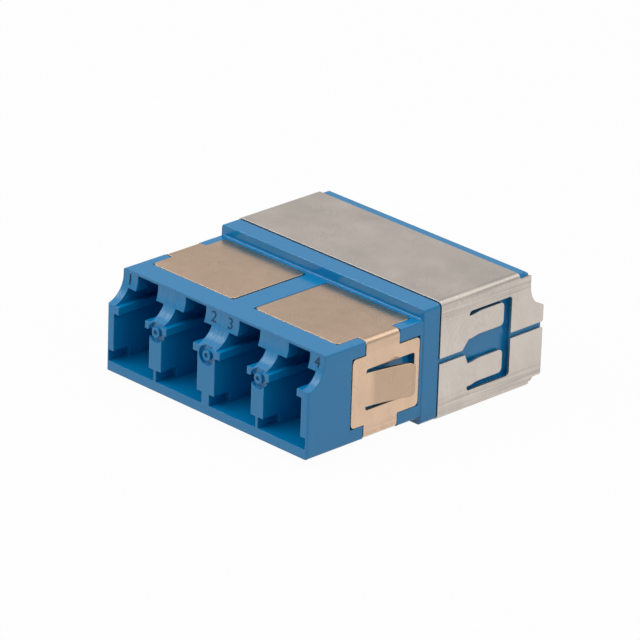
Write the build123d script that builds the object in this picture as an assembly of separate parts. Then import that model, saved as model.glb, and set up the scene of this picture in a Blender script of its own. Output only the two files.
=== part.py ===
from build123d import *
import os
from math import acos, cos, degrees, radians, sin, sqrt

# Four-way fibre optic coupler: two moulded halves, two sprung panel clips, a two-piece
# sheet-metal shell and four split sleeves. Sizes in mm. X runs across the ports, Y from
# the front ports to the rear ports, Z up. The origin is on the resting plane, mid-length.

# Ports
port_width = 4.7
pair_pitch = 6.25
middle_pitch = 6.9
outer_wall = 0.88
floor_thickness = 0.93
plug_height = 4.77
rail_thickness = 0.71
rail_reach = 0.6
rail_length = 8.0
rise_to_deck = 2.99
step_back = 1.9
nose_radius = 2.45
tooth_drop = 1.67
tooth_depth = 1.2
latch_slot_width = 2.65
slot_roof = 0.25
latch_roof = 0.85
latch_room_length = 6.5
notch_height = 1.1
notch_reach = 0.63
notch_depth = 2.0
gate_diameter = 1.9
gate_depth = 0.35
gate_nub_diameter = 0.95
gate_drop = 0.75

# Body, flange and the part behind it
front_reach = 13.95
flange_thickness = 2.0
rear_reach = 13.35
flange_rise = 1.05
flange_drop = 0.75
flange_lip = 0.07
flange_root = 0.14
flange_corner = 0.4
edge_radius = 0.22
wall_behind_ports = 2.8
spigot_depth = 0.8
spigot_margin = 1.6
spigot_clearance = 0.05

# Split sleeves and the tubes that hold them
sleeve_length = 6.8
sleeve_diameter = 1.62
sleeve_bore = 1.25
sleeve_slit = 0.45
sleeve_clearance = 0.06
sleeve_end_play = 0.05
tube_wall = 0.6
tube_lip = 0.65
tube_mouth = 1.57
mouth_chamfer = 0.15

# Panel clips
clip_sheet = 0.3
clip_proud = 0.04
clip_depth_gap = 0.06
panel_gap = 0.02
plate_gap = 0.08
rib_gap = 0.15
clip_bend = 0.2
rib_width = 2.5
panel_setback = 4.4
panel_length = 9.05
panel_margin = 1.08
plate_setback = 5.3
plate_length = 8.25
plate_margin = 1.4
neck_setback = 6.9
neck_width = 4.1
clip_corner = 0.45
clip_window_height = 3.95
clip_window_front = 1.7
clip_window_back = 0.6
clip_tongue_height = 3.2
clip_tongue_gap = 0.8
clip_root_angle = 7.0
clip_root_radius = 2.0
clip_curl_angle = 11.0
clip_curl_radius = 24.0
tongue_corner = 0.5
ramp_depth = 0.9

# Rear shell
shell_sheet = 0.27
shell_gap = 0.03
shell_proud = 0.1
shell_side_lip = 0.05
shell_bend = 0.23
shell_setback = 0.15
seam_width = 0.55
shell_top_setback = 3.2
shell_floor_setback = 1.5
shell_back_top = 1.8
shell_back_knee = 1.05
shell_knee_drop = 0.5
shell_ledge_rise = 0.35
shell_shoulder = 0.5
shell_corner = 0.2
window_setback = 3.6
window_length = 5.45
window_height = 7.75
window_corner = 0.35
window_slant = 0.75
shell_tongue_length = 4.75
shell_tongue_height = 2.25
shell_kerf = 0.5
shell_root_kerf = 0.45
joggle_offset = 0.3
joggle_radius = 3.85
pocket_margin = 0.1
pocket_depth = 0.4
ridge_gap = 0.06
ridge_width = 0.9
ridge_drop = 0.1
ridge_inset = 0.04
ridge_corner = 0.4

# Worked out from the sizes above
port_xs = [side * (middle_pitch / 2 + step * pair_pitch) for side, step in ((-1, 1), (-1, 0), (1, 0), (1, 1))]
body_width = middle_pitch + 2 * pair_pitch + port_width + 2 * outer_wall
body_height = floor_thickness + plug_height + rail_thickness + rise_to_deck
body_base = shell_proud + flange_drop
deck = body_base + body_height
middle_z = body_base + body_height / 2
port_floor = body_base + floor_thickness
rail_base = port_floor + plug_height
ledge = rail_base + rail_thickness
tooth_base = deck - tooth_drop
axis_z = port_floor + plug_height / 2
overall_length = front_reach + flange_thickness + rear_reach
front_y = -overall_length / 2
rear_y = overall_length / 2
flange_y = front_y + front_reach
joint_y = flange_y + flange_thickness
flange_base = body_base - flange_drop
flange_top = deck + flange_rise
flange_width = body_width + 2 * flange_lip
shell_y = joint_y + shell_setback
shell_base = flange_base - shell_proud
shell_top = flange_top + shell_proud
shell_middle = (shell_base + shell_top) / 2
shell_width = flange_width + 2 * shell_side_lip
shell_skin = shell_sheet + shell_gap
shell_top_end = rear_y - shell_top_setback
shell_floor_end = rear_y - shell_floor_setback
core_width = shell_width - 2 * shell_skin
seat_half = sleeve_length / 2 + sleeve_end_play
seat_diameter = sleeve_diameter + 2 * sleeve_clearance
tube_diameter = seat_diameter + 2 * tube_wall
clip_face = body_width / 2
clip_window_y = front_y + plate_setback + clip_window_front
clip_window_length = plate_length - clip_window_front - clip_window_back
clip_tongue_length = clip_window_length - clip_tongue_gap
window_y = shell_y + window_setback
window_base = shell_middle - window_height / 2
window_top = shell_middle + window_height / 2


def block(x, y, z):
    # A box between three pairs of low and high values.
    size = [high - low for low, high in (x, y, z)]
    centre = [(high + low) / 2 for low, high in (x, y, z)]
    return Pos(*centre) * Box(*size)


def closed(*points):
    return make_face(Polyline(*points, close=True))


def across(face, half):
    # A Y-Z outline extruded both ways along X.
    return extrude(Plane.YZ * face, amount=half, both=True)


def along(face, start, end):
    # An X-Z outline extruded from y = start to y = end.
    return Pos(0, start, 0) * extrude(Plane.XZ * face, amount=start - end)


def rod(x, start, end, diameter):
    return along(Pos(x, axis_z) * Circle(diameter / 2), start, end)


def stepped(x, steps):
    # A symmetric X-Z outline through half widths and heights, from the bottom up.
    right = [(x + half, z) for half, z in steps]
    left = [(x - half, z) for half, z in reversed(steps)]
    return closed(*right, *left)


def turned(shape):
    # The same shape at the other end of the body.
    return Rot(0, 0, 180) * shape


def nosed_outline(face_y, back_y, base, top):
    # Side outline of a port body: square foot, ledge, hollow nose and set-back deck.
    inward = 1 if back_y > face_y else -1
    sweep = degrees(acos((nose_radius - step_back) / nose_radius))
    nose_z = ledge + nose_radius * sin(radians(sweep))
    nose_y = face_y + inward * (step_back - nose_radius)
    deck_y = face_y + inward * step_back
    start = -sweep if inward > 0 else 180 + sweep
    nose = CenterArc((nose_y, nose_z), nose_radius, start, inward * sweep)
    lines = Polyline((deck_y, nose_z), (deck_y, top), (back_y, top), (back_y, base),
                     (face_y, base), (face_y, ledge))
    return make_face(nose + lines)


def port_cavity(x):
    # One front port: mouth with latch slot, latch room, plug room and lower side notches.
    half = port_width / 2
    throat = half - rail_reach
    rails = [(half, port_floor), (half, rail_base), (throat, rail_base), (throat, ledge), (half, ledge)]
    slot = latch_slot_width / 2
    tooth_end = front_y + step_back + tooth_depth
    back = -wall_behind_ports
    mouth = stepped(x, rails + [(half, tooth_base), (slot, tooth_base), (slot, deck - slot_roof)])
    latch_end = tooth_end + latch_room_length
    room = stepped(x, rails + [(half, deck - latch_roof)])
    plug = stepped(x, [(half, port_floor), (half, ledge)])
    notch = stepped(x, [(half + notch_reach, port_floor), (half + notch_reach, port_floor + notch_height)])
    cavity = along(mouth, front_y, tooth_end) + along(room, tooth_end, latch_end)
    cavity += along(notch, front_y, front_y + notch_depth)
    return cavity + along(plug, front_y + rail_length, back)


def sleeve_tube(x):
    # The tube that stands out into a front port, round the end of a sleeve.
    tip = -(seat_half + tube_lip)
    return rod(x, tip, -wall_behind_ports + mouth_chamfer, tube_diameter)


def sleeve_seat(x, start, end):
    # The room for a sleeve and the narrower mouths that keep it in, with eased edges.
    tip = seat_half + tube_lip
    cut = rod(x, max(start, -seat_half), min(end, seat_half), seat_diameter)
    cut += rod(x, start, end, tube_mouth)
    for side, reached in ((-1, start < -seat_half), (1, end > seat_half)):
        if reached:
            bevel = Cone(tube_mouth / 2 + mouth_chamfer, tube_mouth / 2, mouth_chamfer)
            cut += Pos(x, side * (tip - mouth_chamfer / 2), axis_z) * Rot(-side * -90, 0, 0) * bevel
    return cut


def gate_marks():
    # Shallow round recesses, each with a nub, in the front ends of the inner walls.
    marks = Part()
    for left, right in zip(port_xs, port_xs[1:]):
        centre = Pos((left + right) / 2, ledge - gate_drop)
        ring = centre * Circle(gate_diameter / 2) - centre * Circle(gate_nub_diameter / 2)
        nub = centre * Circle(gate_nub_diameter / 4)
        marks += along(ring, front_y, front_y + gate_depth)
        marks += along(nub, front_y, front_y + gate_depth / 2)
    return marks


def clip_recess():
    # The room that the right-hand clip takes in the body, with a gap all round.
    deep = clip_sheet - clip_proud + clip_depth_gap
    low_x = rib_width / 2
    panel_x = clip_face - panel_margin + panel_gap
    panel_ys = (front_y + panel_setback - panel_gap, front_y + panel_setback + panel_length + panel_gap)
    plate_ys = (front_y + plate_setback - plate_gap, front_y + plate_setback + plate_length + plate_gap)
    neck_ys = (front_y + neck_setback - plate_gap, front_y + neck_setback + neck_width + plate_gap)
    plate_zs = (body_base + plate_margin - plate_gap, deck - plate_margin + plate_gap)
    out = clip_face + 1
    room = block((clip_face - deep, out), plate_ys, plate_zs)
    room += block((clip_face - deep, out), neck_ys, (body_base - 1, deck + 1))
    for inner, outer in ((deck - deep, deck + 1), (body_base - 1, body_base + deep)):
        room += block((low_x, panel_x), panel_ys, (inner, outer))
        room += block((low_x, out), neck_ys, (inner, outer))
    return room


def rounded_parallel(shape, axis, radius):
    # Rounds every edge that runs along one axis.
    return fillet(shape.edges().filter_by(axis), radius)


def clip_ramp():
    # Sloping hollow behind the clip's tongue, which lets the tongue be pressed in flush.
    start = clip_window_y
    end = start + clip_window_length
    face = clip_face - clip_sheet
    half = clip_window_height / 2
    outline = closed((face + 1, start), (face, start), (face - ramp_depth, end), (face + 1, end))
    return Pos(0, 0, middle_z - half) * extrude(outline, amount=2 * half)


def flange_roots():
    # Small hollow fillets where the flange stands on the deck and on the underside.
    roots = Part()
    for level, way in ((deck, 1), (body_base, -1)):
        high = (flange_y, level + way * flange_root)
        ahead = (flange_y - flange_root, level)
        ease = flange_root * (1 - sin(radians(45)))
        arc = ThreePointArc(high, (flange_y - ease, level + way * ease), ahead)
        face = make_face(arc + Polyline(ahead, (flange_y, level), high))
        roots += across(face, body_width / 2 - edge_radius)
    return roots


def make_front_housing():
    body = across(nosed_outline(front_y, flange_y + edge_radius, body_base, deck), body_width / 2)
    long_edges = body.edges().filter_by(Axis.Y)
    upright_edges = body.edges().filter_by(Axis.Z).group_by(Axis.Y)[0]
    body = fillet(long_edges + upright_edges, edge_radius)
    flange = block((-flange_width / 2, flange_width / 2), (flange_y, joint_y), (flange_base, flange_top))
    flange = rounded_parallel(flange, Axis.Y, flange_corner)
    flange = chamfer(flange.edges().group_by(Axis.Y)[0], edge_radius / 3)
    housing = body + flange + flange_roots()
    for x in port_xs:
        housing -= port_cavity(x)
        housing += sleeve_tube(x)
    for x in port_xs:
        housing -= sleeve_seat(x, -(seat_half + tube_lip), joint_y)
    housing -= gate_marks()
    clip_room = clip_recess() + clip_ramp()
    housing -= clip_room + mirror(clip_room, Plane.YZ)
    return housing - spigot(spigot_clearance)


def spigot(grow):
    # The tenon that sets the rear half into the back of the flange.
    half = body_width / 2 - spigot_margin + grow
    zs = (port_floor + spigot_margin / 2 - grow, ledge - spigot_margin / 2 + grow)
    return block((-half, half), (joint_y - spigot_depth - grow, joint_y), zs)


def ridge():
    # The raised strip that closes the gap behind the shell's top sheet.
    start = shell_top_end + ridge_gap
    half = core_width / 2 - ridge_inset
    strip = block((-half, half), (start, start + ridge_width), (deck, shell_top - ridge_drop))
    return fillet(strip.edges().filter_by(Axis.Y).group_by(Axis.Z)[-1], ridge_corner)


def shell_pockets():
    # Shallow hollows in both sides, behind the shell's windows.
    ys = (window_y - pocket_margin, window_y + window_length + pocket_margin)
    zs = (window_base - pocket_margin, window_top + pocket_margin)
    face = core_width / 2
    right = block((face - pocket_depth, face + 1), ys, zs)
    return right + mirror(right, Plane.YZ)


def make_rear_housing():
    core_top = shell_top - shell_skin
    core_base = shell_base + shell_skin
    core = across(nosed_outline(rear_y, joint_y, body_base, core_top), core_width / 2)
    core += block((-core_width / 2, core_width / 2), (joint_y, shell_floor_end), (core_base, port_floor))
    core = fillet(core.edges().filter_by(Axis.Y), edge_radius)
    housing = core + ridge()
    for x in port_xs:
        housing -= turned(port_cavity(-x))
        housing += turned(sleeve_tube(-x))
    housing += spigot(0)
    for x in port_xs:
        housing -= sleeve_seat(x, joint_y - spigot_depth, seat_half + tube_lip)
    housing -= turned(gate_marks())
    return housing - shell_pockets()


def make_sleeve(x):
    # Split ceramic sleeve, slit along the top.
    half = sleeve_length / 2
    sleeve = rod(x, -half, half, sleeve_diameter) - rod(x, -half, half, sleeve_bore)
    slit = block((x - sleeve_slit / 2, x + sleeve_slit / 2), (-half, half), (axis_z, axis_z + sleeve_diameter))
    return sleeve - slit


def curled_tongue():
    # Tongue outline in plan, bent outwards from the clip's side plate in two bends.
    root = clip_window_y
    outside = clip_face + clip_proud
    edges = []
    for x, extra in ((outside, 0), (outside - clip_sheet, clip_sheet)):
        length = clip_tongue_length - radians(clip_root_angle) * clip_root_radius
        sweep = degrees(length / clip_curl_radius)
        bend = JernArc((x, root), (0, 1), clip_root_radius + extra, -clip_root_angle)
        curl = JernArc(bend @ 1, bend % 1, clip_curl_radius + extra, -sweep)
        edges += [bend, curl]
    outline = edges[0] + edges[1] + edges[2] + edges[3]
    outline += Line(edges[0] @ 0, edges[2] @ 0) + Line(edges[1] @ 1, edges[3] @ 1)
    low = middle_z - clip_tongue_height / 2
    tongue = Pos(0, 0, low) * extrude(make_face(outline), amount=clip_tongue_height)
    tip = (edges[1] @ 1).Y
    long = 2 * (tip - root)
    window = Pos(tip - long / 2, middle_z) * RectangleRounded(long, clip_tongue_height, tongue_corner)
    return tongue & across(window, body_width)


def make_clip():
    # Right-hand clip: a C-shaped strip cut back to its panels, plate and necks.
    outer_half = clip_face + clip_proud
    reach = outer_half - rib_width / 2 - rib_gap
    outer_height = body_height + 2 * clip_proud
    inner = (reach - clip_sheet) * 2, outer_height - 2 * clip_sheet
    section = Pos(outer_half - reach, middle_z) * (
        RectangleRounded(2 * reach, outer_height, clip_bend + clip_sheet) - RectangleRounded(*inner, clip_bend))
    strip = along(section, front_y + panel_setback, front_y + plate_setback + plate_length)
    clip = strip & clip_outline()
    ys = (clip_window_y, clip_window_y + clip_window_length)
    half = clip_window_height / 2
    window = block((outer_half - clip_sheet - 0.1, outer_half + 1), ys, (middle_z - half, middle_z + half))
    window = rounded_parallel(window, Axis.X, tongue_corner / 2)
    return clip - window + curled_tongue()


def clip_outline():
    # Space that holds only the clip's panels, plate and necks, with rounded corners.
    panel_x = clip_face - panel_margin
    panel_ys = (front_y + panel_setback, front_y + panel_setback + panel_length)
    plate_ys = (front_y + plate_setback, front_y + plate_setback + plate_length)
    neck_ys = (front_y + neck_setback, front_y + neck_setback + neck_width)
    deep = 2 * clip_sheet
    panels = block((rib_width / 2 + rib_gap, panel_x), panel_ys, (body_base - 1, deck + 1))
    panels = rounded_parallel(panels, Axis.Z, clip_corner)
    plate = block((clip_face - deep, clip_face + 1), plate_ys, (body_base + plate_margin, deck - plate_margin))
    plate = rounded_parallel(plate, Axis.X, clip_corner)
    neck = block((panel_x - 1, clip_face + 1), neck_ys, (body_base - 1, deck + 1))
    return panels + plate + neck


def side_outline(upper):
    # Y-Z outline of one shell half, from its seam to beyond its top or floor sheet.
    tail = rear_y
    if upper:
        seam = shell_middle + seam_width / 2
        foot = ledge + shell_ledge_rise
        knee = (tail - shell_back_knee, foot + shell_knee_drop)
        top = (tail - shell_back_top, knee[1] + shell_back_top)
        arc = ThreePointArc(knee, blend_point(knee, top), top)
        lines = Polyline(top, (top[0], shell_top + 1), (shell_y, shell_top + 1), (shell_y, seam),
                         (tail, seam), (tail, foot), knee)
        return eased(make_face(arc + lines))
    seam = shell_middle - seam_width / 2
    foot = body_base - shell_gap
    return eased(closed((shell_y, shell_base - 1), (shell_floor_end, shell_base - 1),
                        (shell_floor_end, shell_base + shell_sheet), (shell_floor_end + shell_shoulder, foot),
                        (tail, foot), (tail, seam), (shell_y, seam)))


def eased(outline):
    # The outline with its corners behind the shell's front edge rounded.
    corners = outline.vertices().filter_by_position(Axis.X, shell_y + 1, rear_y + 1)
    return fillet(corners, shell_corner)


def blend_point(knee, top):
    # A point that makes the shell's rear edge hollow between its knee and its top.
    bulge = 0.2
    middle = ((knee[0] + top[0]) / 2, (knee[1] + top[1]) / 2)
    return (middle[0] - bulge * (top[1] - knee[1]) / 2, middle[1] + bulge * (top[0] - knee[0]) / 2)


def joggled_tongue(low, high):
    # One retention tongue of the right-hand side, stepped inwards by two bends.
    outside = shell_width / 2
    sweep = degrees(acos(1 - joggle_offset / (2 * joggle_radius)))
    root = window_y - 0.02
    tip = window_y + shell_tongue_length
    rows = []
    for x, grow in ((outside, 0), (outside - shell_sheet, -shell_sheet)):
        first = JernArc((x, root), (0, 1), joggle_radius + grow, sweep)
        second = JernArc(first @ 1, first % 1, joggle_radius - grow - shell_sheet, -sweep)
        rows.append([first, second, Line(second @ 1, ((second @ 1).X, tip))])
    outline = rows[0][0] + rows[0][1] + rows[0][2] + rows[1][0] + rows[1][1] + rows[1][2]
    outline += Line(rows[0][0] @ 0, rows[1][0] @ 0) + Line(rows[0][2] @ 1, rows[1][2] @ 1)
    tongue = Pos(0, 0, low) * extrude(make_face(outline), amount=high - low)
    long = 2 * shell_tongue_length
    window = Pos(tip - long / 2, (low + high) / 2) * RectangleRounded(long, high - low, clip_corner)
    return tongue & across(window, shell_width)


def make_shell(upper):
    # Half of the sheet-metal shell: a folded channel with a window and tongue each side.
    height = shell_top - shell_base
    inner = shell_width - 2 * shell_sheet, height - 2 * shell_sheet
    section = Pos(0, shell_middle) * (
        RectangleRounded(shell_width, height, shell_bend + shell_sheet) - RectangleRounded(*inner, shell_bend))
    shell = along(section, shell_y, rear_y) & across(side_outline(upper), shell_width)
    cap = shell_width / 2 - shell_sheet - shell_bend
    sheet_end = shell_top_end if upper else shell_floor_end
    edge = shell_top - shell_shoulder if upper else shell_base + shell_shoulder
    beyond = (edge, shell_top + 1) if upper else (shell_base - 1, edge)
    shell -= block((-shell_width, shell_width), (sheet_end, rear_y + 1), beyond)
    side = 1 if upper else -1
    end = shell_middle + side * window_height / 2
    reach = (cap - 1, shell_width)
    levels = (min(shell_middle, end), max(shell_middle, end))
    window = block(reach, (window_y, window_y + window_length), levels)
    corners = window.edges().filter_by(Axis.X).sort_by(Axis.Z)
    window = fillet(corners[-2:] if upper else corners[:2], window_corner)
    root_edge = end - side * shell_root_kerf
    free_edge = root_edge - side * shell_tongue_height
    tongue = joggled_tongue(min(root_edge, free_edge), max(root_edge, free_edge))
    seam = shell_middle + side * seam_width / 2
    slant = window_slant if upper else window_slant / 2
    slope = closed((window_y, free_edge), (window_y - slant, seam), (window_y, seam))
    shell -= window + mirror(window, Plane.YZ) + across(slope, shell_width)
    return shell + tongue + mirror(tongue, Plane.YZ)


def save(name, shape):
    export_step(shape, f"parts/{name}.step")


os.makedirs("parts", exist_ok=True)
save("front_housing", make_front_housing())
save("rear_housing", make_rear_housing())
right_clip = make_clip()
save("right_clip", right_clip)
save("left_clip", mirror(right_clip, Plane.YZ))
save("upper_shell", make_shell(True))
save("lower_shell", make_shell(False))
for number, x in enumerate(port_xs, 1):
    save(f"alignment_sleeve_{number}", make_sleeve(x))
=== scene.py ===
from math import cos, radians, sin, sqrt
import bmesh
import bpy
from mathutils import Matrix, Vector


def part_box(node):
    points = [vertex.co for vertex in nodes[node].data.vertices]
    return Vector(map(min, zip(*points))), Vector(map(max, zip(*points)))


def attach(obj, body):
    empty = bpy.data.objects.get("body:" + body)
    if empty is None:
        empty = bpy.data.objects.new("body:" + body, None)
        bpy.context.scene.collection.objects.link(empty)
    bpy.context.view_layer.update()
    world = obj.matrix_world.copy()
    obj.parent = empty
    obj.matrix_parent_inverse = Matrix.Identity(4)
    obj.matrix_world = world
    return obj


# Four-way fibre optic coupler: blue moulded halves, bronze side clips, a steel rear shell.
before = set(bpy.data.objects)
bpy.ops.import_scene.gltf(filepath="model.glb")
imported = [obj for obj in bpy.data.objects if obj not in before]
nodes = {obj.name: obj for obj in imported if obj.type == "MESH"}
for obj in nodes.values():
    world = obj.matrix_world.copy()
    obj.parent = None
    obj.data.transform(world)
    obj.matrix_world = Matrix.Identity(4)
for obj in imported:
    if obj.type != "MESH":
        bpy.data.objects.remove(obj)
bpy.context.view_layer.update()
MM = 0.001

# Camera, found from the photograph
camera_azimuth = radians(44.954)
camera_elevation = radians(23.262)
camera_roll = radians(1.9595)
camera_distance = 493.775 * MM
camera_target = Vector((0.0, -0.65, 5.9)) * MM
camera_offset = (-0.0157 * MM, -0.1126 * MM)
camera_near = 0.01
camera_far = 20.0
focal_pixels = 5505.31
picture_width = 640
sensor_width = 36.0

# Light. Each lamp has its direction from the part, its width in metres and its power in watts.
world_strength = 0.03
gloss_share = 0.6
lamp_distance = 0.6
lamps = {
    "overhead": ((0.15, 0.05, 1.0), 1.3, 3.9),
    "front": ((-0.3, -0.68, 0.7), 0.5, 1.15),
    "glint": ((-0.65, -0.38, 0.66), 0.24, 0.5),
    "right": ((1.0, 0.1, 0.5), 0.5, 0.7),
}
floor_size = 6.0
floor_drop = 0.01 * MM
floor_roughness = 0.9
floor_glow = 0.97

# Colours, as linear red, green and blue
blue = (0.0005, 0.225, 0.51, 1.0)
paler_line_blue = (0.06, 0.22, 0.42, 1.0)
bronze = (0.68, 0.485, 0.345, 1.0)
steel = (0.61, 0.55, 0.495, 1.0)
ceramic = (0.86, 0.85, 0.82, 1.0)
ink = (0.006, 0.03, 0.08, 1.0)
grey = (0.6, 0.6, 0.6, 1.0)
white = (1.0, 1.0, 1.0, 1.0)

# Roughness, and the depth of the relief and the radius of the eased edges
bronze_roughness = 0.22
steel_roughness = 0.36
ceramic_roughness = 0.2
ink_roughness = 0.7
plastic_roughness = (0.12, 0.2)
nose_roughness = 0.08
sheet_spread = 0.05
plain_spread = 0.03
plastic_relief, plastic_edge = 0.02 * MM, 0.12 * MM
sheet_relief, sheet_edge = 0.018 * MM, 0.1 * MM
edge_samples = 6

# The part of a noise's range that most of its values are in
noise_low, noise_high = 0.3, 0.7

# Front end of the housing, where its curved noses and its port numbers are
front_low, front_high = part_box("front_housing")
deck_z = front_high.z - 1.05 * MM
nose_setback = 1.9 * MM
nose_radius = 2.45 * MM
nose_top = deck_z - 0.6 * MM
ledge_z = deck_z - 2.99 * MM
cutter_reach = -front_low.y - nose_setback - 0.05 * MM

# Port numbers: each one's place across the part in millimetres, and their size.
# A digit of Blender's font is as high as this share of the font's size.
port_marks = {"1": -12.0, "2": -1.05, "3": 1.05, "4": 12.0}
mark_height = 1.05 * MM
mark_base = deck_z - 1.35 * MM
mark_relief = 0.02 * MM
digit_share = 0.72

# The sprung tongue of each side clip, which stands out of the sheet, and the painted shade that
# darkens it where it stands out
shell_low, shell_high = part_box("lower_shell")[0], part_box("upper_shell")[1]
tongue_root = shell_high.x - 0.04 * MM
tongue_rise = tongue_root + 0.1 * MM
tongue_painted_shade = 0.77

# In millimetres: the mid heights of the sheets, the reach of their side faces,
# and where the streaks and painted shade of their bends begin and are full, inwards and upwards
# from those
clip_low, clip_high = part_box("right_clip")
clip_middle = (clip_low.z + clip_high.z) / 2 / MM
shell_middle = (shell_high.z + shell_low.z) / 2 / MM
side_reach = shell_high.x / MM
side_start, side_full = 0.9, 0.5
bend_start, bend_fade = 3.3, 0.9

# Closes the hollow behind each tongue where the solid's hollow breaks into the port.
# The outline is in X and Y and the two heights are in Z, all in millimetres.
ramp_outline = ((12.63, -7.65), (12.25, -1.7), (12.05, -1.7), (12.05, -3.816))
ramp_low, ramp_high = 3.575, 7.525


class Tree:
    # A small helper that adds linked nodes to the node tree of a material or a world.
    def __init__(self, owner):
        owner.use_nodes = True
        self.tree = owner.node_tree

    def add(self, kind, values=None, **settings):
        node = self.tree.nodes.new("ShaderNode" + kind)
        for key, value in settings.items():
            setattr(node, key, value)
        for socket, value in (values or {}).items():
            self.put(value, node.inputs[socket])
        return node

    def put(self, value, socket):
        # Links an output to a socket, or sets a plain value on it.
        if isinstance(value, bpy.types.NodeSocket):
            self.tree.links.new(value, socket)
        else:
            socket.default_value = value

    def math(self, operation, *values):
        inputs = dict(enumerate(values))
        return self.add("Math", inputs, operation=operation).outputs[0]

    def plus(self, base, extra, share):
        # A value and a share of a second one.
        return self.math("ADD", base, self.math("MULTIPLY", extra, share))


class Shader(Tree):
    # The node tree of one new material.
    def __init__(self, name):
        self.material = bpy.data.materials.new(name)
        super().__init__(self.material)
        self.surface = self.tree.nodes["Principled BSDF"]

    def set(self, **values):
        for name, value in values.items():
            self.put(value, self.surface.inputs[name.replace("_", " ")])

    def place(self, turn=(0, 0, 0), stretch=(1, 1, 1)):
        # Object coordinates in millimetres, turned and stretched.
        where = self.add("TexCoord").outputs["Object"]
        scale = [part / MM for part in stretch]
        turned = self.add("Mapping", {"Vector": where, "Rotation": turn}).outputs["Vector"]
        return self.add("Mapping", {"Vector": turned, "Scale": scale}).outputs["Vector"]

    def axes(self):
        # X, Y and Z in millimetres, each an output of its own.
        return self.add("SeparateXYZ", {0: self.place()}).outputs

    def noise(self, vector, size, detail=3.0):
        values = {"Vector": vector, "Scale": 1 / size, "Detail": detail, "Roughness": 0.55}
        return self.add("TexNoise", values).outputs["Fac"]

    def ramp(self, factor, low, high, start=noise_low, end=noise_high):
        values = {"Value": factor, "From Min": start, "From Max": end}
        values.update({"To Min": low, "To Max": high})
        return self.add("MapRange", values).outputs["Result"]

    def size(self, value):
        return self.math("ABSOLUTE", value, 0.0)

    def beside_bend(self, level):
        # One on the side faces near a sheet's upper and lower bends, and zero elsewhere.
        where = self.axes()
        out = self.size(where["X"])
        away = self.size(self.math("SUBTRACT", where["Z"], level))
        at_side = self.ramp(out, 0.0, 1.0, side_reach - side_start, side_reach - side_full)
        at_bend = self.ramp(away, 0.0, 1.0, bend_start, bend_start + bend_fade)
        return self.math("MULTIPLY", at_side, at_bend)

    def relief(self, height, depth, radius):
        # Relief over an edge that is eased by a small radius.
        eased = self.add("Bevel", {"Radius": radius}, samples=edge_samples).outputs["Normal"]
        values = {"Height": height, "Distance": depth, "Strength": 1.0, "Normal": eased}
        self.set(Normal=self.add("Bump", values).outputs["Normal"])


def moulded(name):
    # Gloss moulded plastic, with fine cutter lines on the teeth and curved noses of the walls.
    shader = Shader(name)
    skin = shader.noise(shader.place(), 0.35, detail=2.0)
    cloud = shader.noise(shader.place(), 3.0)
    where = shader.axes()
    at_end = shader.math("GREATER_THAN", shader.size(where["Y"]), cutter_reach / MM)
    above = shader.math("GREATER_THAN", where["Z"], ledge_z / MM)
    on_nose = shader.math("MULTIPLY", at_end, above)
    lines = shader.noise(shader.place(stretch=(6.0, 0.03, 0.03)), 1.0, detail=2.0)
    lines = shader.math("MULTIPLY", shader.ramp(lines, 0, 1, 0.35, 0.65), on_nose)
    height = shader.plus(lines, skin, 0.12)
    # The fine lines tint the plastic towards a paler, greyer blue.
    pale = shader.math("MULTIPLY", lines, 0.4)
    tint = shader.add("Mix", {0: pale, 6: blue, 7: paler_line_blue}, data_type="RGBA")
    shine = shader.plus(shader.ramp(cloud, *plastic_roughness), on_nose, nose_roughness)
    shader.set(Base_Color=tint.outputs[2], Roughness=shine)
    shader.relief(height, plastic_relief, plastic_edge)
    return shader.material


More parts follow.
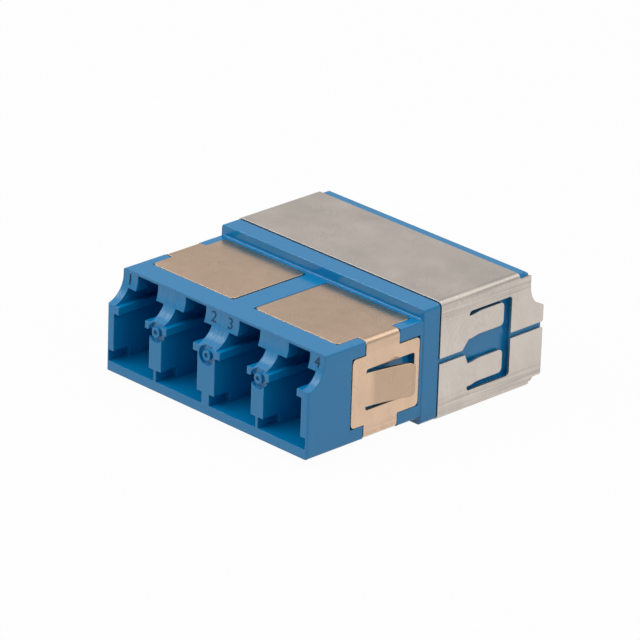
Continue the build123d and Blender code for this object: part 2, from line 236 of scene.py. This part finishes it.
def rolled(name, colour, roughness, middle, raised_painted_shade=None):
    # Sheet metal with scuffs, arcs, streaks at its bends with painted shade beside them and, where
    # given, painted shade that darkens the tongue.
    shader = Shader(name)
    # Scuffs that run one way in some places and another way in others, in patches
    first = shader.noise(shader.place((0.3, 0.2, radians(40)), (1, 7, 1)), 0.9, detail=2.0)
    second = shader.noise(shader.place((0.2, 0.4, radians(-20)), (7, 1, 1)), 0.9, detail=2.0)
    side = shader.ramp(shader.noise(shader.place(), 2.5), 0, 1, 0.44, 0.56)
    scuffs = shader.add("Mix", {0: side, 2: first, 3: second}, data_type="FLOAT").outputs[0]
    patch = shader.noise(shader.place((0.5, 0, 0)), 3.2, detail=1.0)
    patch = shader.ramp(patch, 0.2, 1.0, 0.45, 0.62)
    height = shader.math("MULTIPLY", shader.math("SUBTRACT", scuffs, 0.5), patch)
    # Arcs in a few spots
    arcs = {"Vector": shader.place((0.35, 0.5, 0.8)), "Scale": 0.7, "Distortion": 8.0}
    arcs.update({"Detail": 3.0, "Detail Scale": 0.5})
    arcs = shader.math("SUBTRACT", shader.add("TexWave", arcs).outputs["Fac"], 0.5)
    spots = shader.noise(shader.place((0, 0.7, 0.3)), 4.0, detail=1.0)
    height = shader.plus(height, arcs, shader.ramp(spots, 0, 0.12, 0.52, 0.66))
    # Streaks along the bends, in relief; their tone also paints shade on the side faces next to
    # the bends
    bend_streaks_and_shade = shader.noise(shader.place(stretch=(1, 0.12, 6)), 1.0, detail=2.0)
    bend_streaks_and_shade = shader.math("SUBTRACT", bend_streaks_and_shade, 0.62)
    bend_streaks_and_shade = shader.math("MULTIPLY", bend_streaks_and_shade, shader.beside_bend(middle))
    height = shader.plus(height, bend_streaks_and_shade, 0.6)
    # Tone and gloss, which vary a little from place to place
    cloud = shader.noise(shader.place(), 6.0)
    mottle = shader.noise(shader.place(stretch=(1, 1, 0.5)), 1.6)
    tone = shader.plus(shader.ramp(cloud, 0.95, 1.02), height, 0.35)
    tone = shader.math("MULTIPLY", tone, shader.ramp(mottle, 0.96, 1.04))
    # Painted shade: the bend streaks darken the tone of the side faces next to the bends.
    tone = shader.plus(tone, bend_streaks_and_shade, 0.5)
    # Painted shade: the tongue is made darker where it stands out of the sheet.
    if raised_painted_shade:
        across = shader.size(shader.axes()["X"])
        shade = shader.ramp(across, 1.0, raised_painted_shade, tongue_root / MM, tongue_rise / MM)
        tone = shader.math("MULTIPLY", tone, shade)
    tint = shader.add("Mix", {0: 1.0, 6: colour, 7: tone}, data_type="RGBA", blend_type="MULTIPLY")
    shine = shader.ramp(cloud, roughness - sheet_spread, roughness + sheet_spread)
    shader.set(Base_Color=tint.outputs[2], Metallic=1.0, Roughness=shine)
    shader.relief(height, sheet_relief, sheet_edge)
    return shader.material


def plain(name, colour, roughness):
    shader = Shader(name)
    grain = shader.noise(shader.place(), 0.4)
    shine = shader.ramp(grain, roughness - plain_spread, roughness + plain_spread, 0.0, 1.0)
    shader.set(Base_Color=colour, Roughness=shine)
    return shader.material


def dress(material, names):
    for name in names:
        mesh = nodes[name].data
        mesh.materials.clear()
        mesh.materials.append(material)


def add_piece(name, mesh, material):
    # A piece of the housing that the solids don't have.
    mesh.materials.append(material)
    made = bpy.data.objects.new(name, mesh)
    bpy.context.scene.collection.objects.link(made)
    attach(made, "root")


def nose_depth(z):
    # How far the curved nose stands out of the plane of the teeth at a height.
    below = max(nose_top - z, 0.0)
    return nose_radius - sqrt(nose_radius ** 2 - below ** 2)


def add_mark(text, x, material):
    # A small port number on the front of a tooth, laid on its curved nose.
    curve = bpy.data.curves.new(f"mark_{text}", "FONT")
    curve.body = text
    curve.size = mark_height / digit_share
    curve.align_x = "CENTER"
    curve.extrude = mark_relief
    lettering = bpy.data.objects.new("lettering", curve)
    mesh = bpy.data.meshes.new_from_object(lettering)
    bpy.data.objects.remove(lettering)
    for vertex in mesh.vertices:
        across, height, relief = vertex.co
        level = mark_base + height
        y = front_low.y + nose_setback - relief - nose_depth(level)
        vertex.co = (x + across, y, level)
    add_piece(f"mark_{text}", mesh, material)


def add_ramp_floor(name, side, material):
    # A wedge whose lower corners are numbered 0 to 3 and whose upper corners 4 to 7.
    ends = [(0, 1, 2, 3), (4, 5, 6, 7)]
    sides = [(at, (at + 1) % 4, (at + 1) % 4 + 4, at + 4) for at in range(4)]
    shape = bmesh.new()
    points = []
    for z in (ramp_low, ramp_high):
        points += [shape.verts.new((side * x * MM, y * MM, z * MM)) for x, y in ramp_outline]
    for face in ends + sides:
        shape.faces.new([points[at] for at in face])
    bmesh.ops.recalc_face_normals(shape, faces=shape.faces)
    mesh = bpy.data.meshes.new(name)
    shape.to_mesh(mesh)
    shape.free()
    add_piece(name, mesh, material)


def add_camera():
    sa, ca = sin(camera_azimuth), cos(camera_azimuth)
    se, ce = sin(camera_elevation), cos(camera_elevation)
    back = Vector((sa * ce, -ca * ce, se))
    level = Vector((ca, sa, 0.0))
    upright = back.cross(level)
    right = cos(camera_roll) * level + sin(camera_roll) * upright
    up = cos(camera_roll) * upright - sin(camera_roll) * level
    place = camera_target + camera_distance * back
    place = place - camera_offset[0] * right - camera_offset[1] * up
    camera = bpy.data.cameras.new("camera")
    camera.lens = focal_pixels * sensor_width / picture_width
    camera.sensor_width = sensor_width
    camera.clip_start = camera_near
    camera.clip_end = camera_far
    made = bpy.data.objects.new("camera", camera)
    axes = Matrix((right, up, back)).transposed().to_4x4()
    made.matrix_world = Matrix.Translation(place) @ axes
    bpy.context.scene.collection.objects.link(made)
    bpy.context.scene.camera = made


def add_lamp(name, direction, size, power):
    lamp = bpy.data.lights.new(name, "AREA")
    lamp.shape = "DISK"
    lamp.size = size
    lamp.energy = power
    made = bpy.data.objects.new(name, lamp)
    way = Vector(direction).normalized()
    made.location = way * lamp_distance
    made.rotation_euler = way.to_track_quat("Z", "Y").to_euler()
    bpy.context.scene.collection.objects.link(made)


def add_floor():
    # A pale floor that the camera sees as near white, with the object's soft shadow.
    shader = Shader("floor")
    shader.set(Base_Color=grey, Roughness=floor_roughness)
    path = shader.add("LightPath").outputs
    seen = shader.math("MAXIMUM", path["Is Camera Ray"], path["Is Glossy Ray"])
    seen = shader.math("MAXIMUM", seen, path["Is Transmission Ray"])
    glow = shader.add("Emission", {"Color": white, "Strength": 1.0}).outputs[0]
    share = shader.math("MULTIPLY", seen, floor_glow)
    mix = shader.add("MixShader", {0: share, 1: shader.surface.outputs[0], 2: glow})
    shader.put(mix.outputs[0], shader.tree.nodes["Material Output"].inputs["Surface"])
    # It lies just under the part, so that it doesn't share a plane with the part's base.
    bpy.ops.mesh.primitive_plane_add(size=floor_size, location=(0.0, 0.0, -floor_drop))
    floor = bpy.context.object
    floor.name = "floor"
    floor.data.materials.append(shader.material)


def add_world():
    # Soft studio light, with a white backdrop for the camera and a paler one for metal.
    world = bpy.data.worlds.new("studio")
    bpy.context.scene.world = world
    studio = Tree(world)
    soft = studio.tree.nodes["Background"]
    studio.put(white, soft.inputs["Color"])
    studio.put(world_strength, soft.inputs["Strength"])
    bright = studio.add("Background", {"Color": white, "Strength": 1.0})
    path = studio.add("LightPath").outputs
    seen = studio.math("MAXIMUM", path["Is Camera Ray"], path["Is Transmission Ray"])
    share = studio.math("MULTIPLY_ADD", path["Is Glossy Ray"], gloss_share, seen)
    mix = studio.add("MixShader", {0: share, 1: soft.outputs[0], 2: bright.outputs[0]})
    studio.put(mix.outputs[0], studio.tree.nodes["World Output"].inputs["Surface"])


plastic = moulded("blue_plastic")
dress(plastic, ["front_housing", "rear_housing"])
bronze_sheet = rolled("bronze_sheet", bronze, bronze_roughness, clip_middle, tongue_painted_shade)
dress(bronze_sheet, ["left_clip", "right_clip"])
steel_sheet = rolled("steel_sheet", steel, steel_roughness, shell_middle)
dress(steel_sheet, ["upper_shell", "lower_shell"])
sleeves = [name for name in nodes if name.startswith("alignment_sleeve")]
dress(plain("white_ceramic", ceramic, ceramic_roughness), sleeves)
ink_material = plain("mark_ink", ink, ink_roughness)
for text, x in port_marks.items():
    add_mark(text, x * MM, ink_material)
add_ramp_floor("ramp_floor_right", 1, plastic)
add_ramp_floor("ramp_floor_left", -1, plastic)
add_floor()
add_world()
for name, (direction, size, power) in lamps.items():
    add_lamp(name, direction, size, power)
add_camera()
bpy.context.scene.view_settings.view_transform = "Standard"
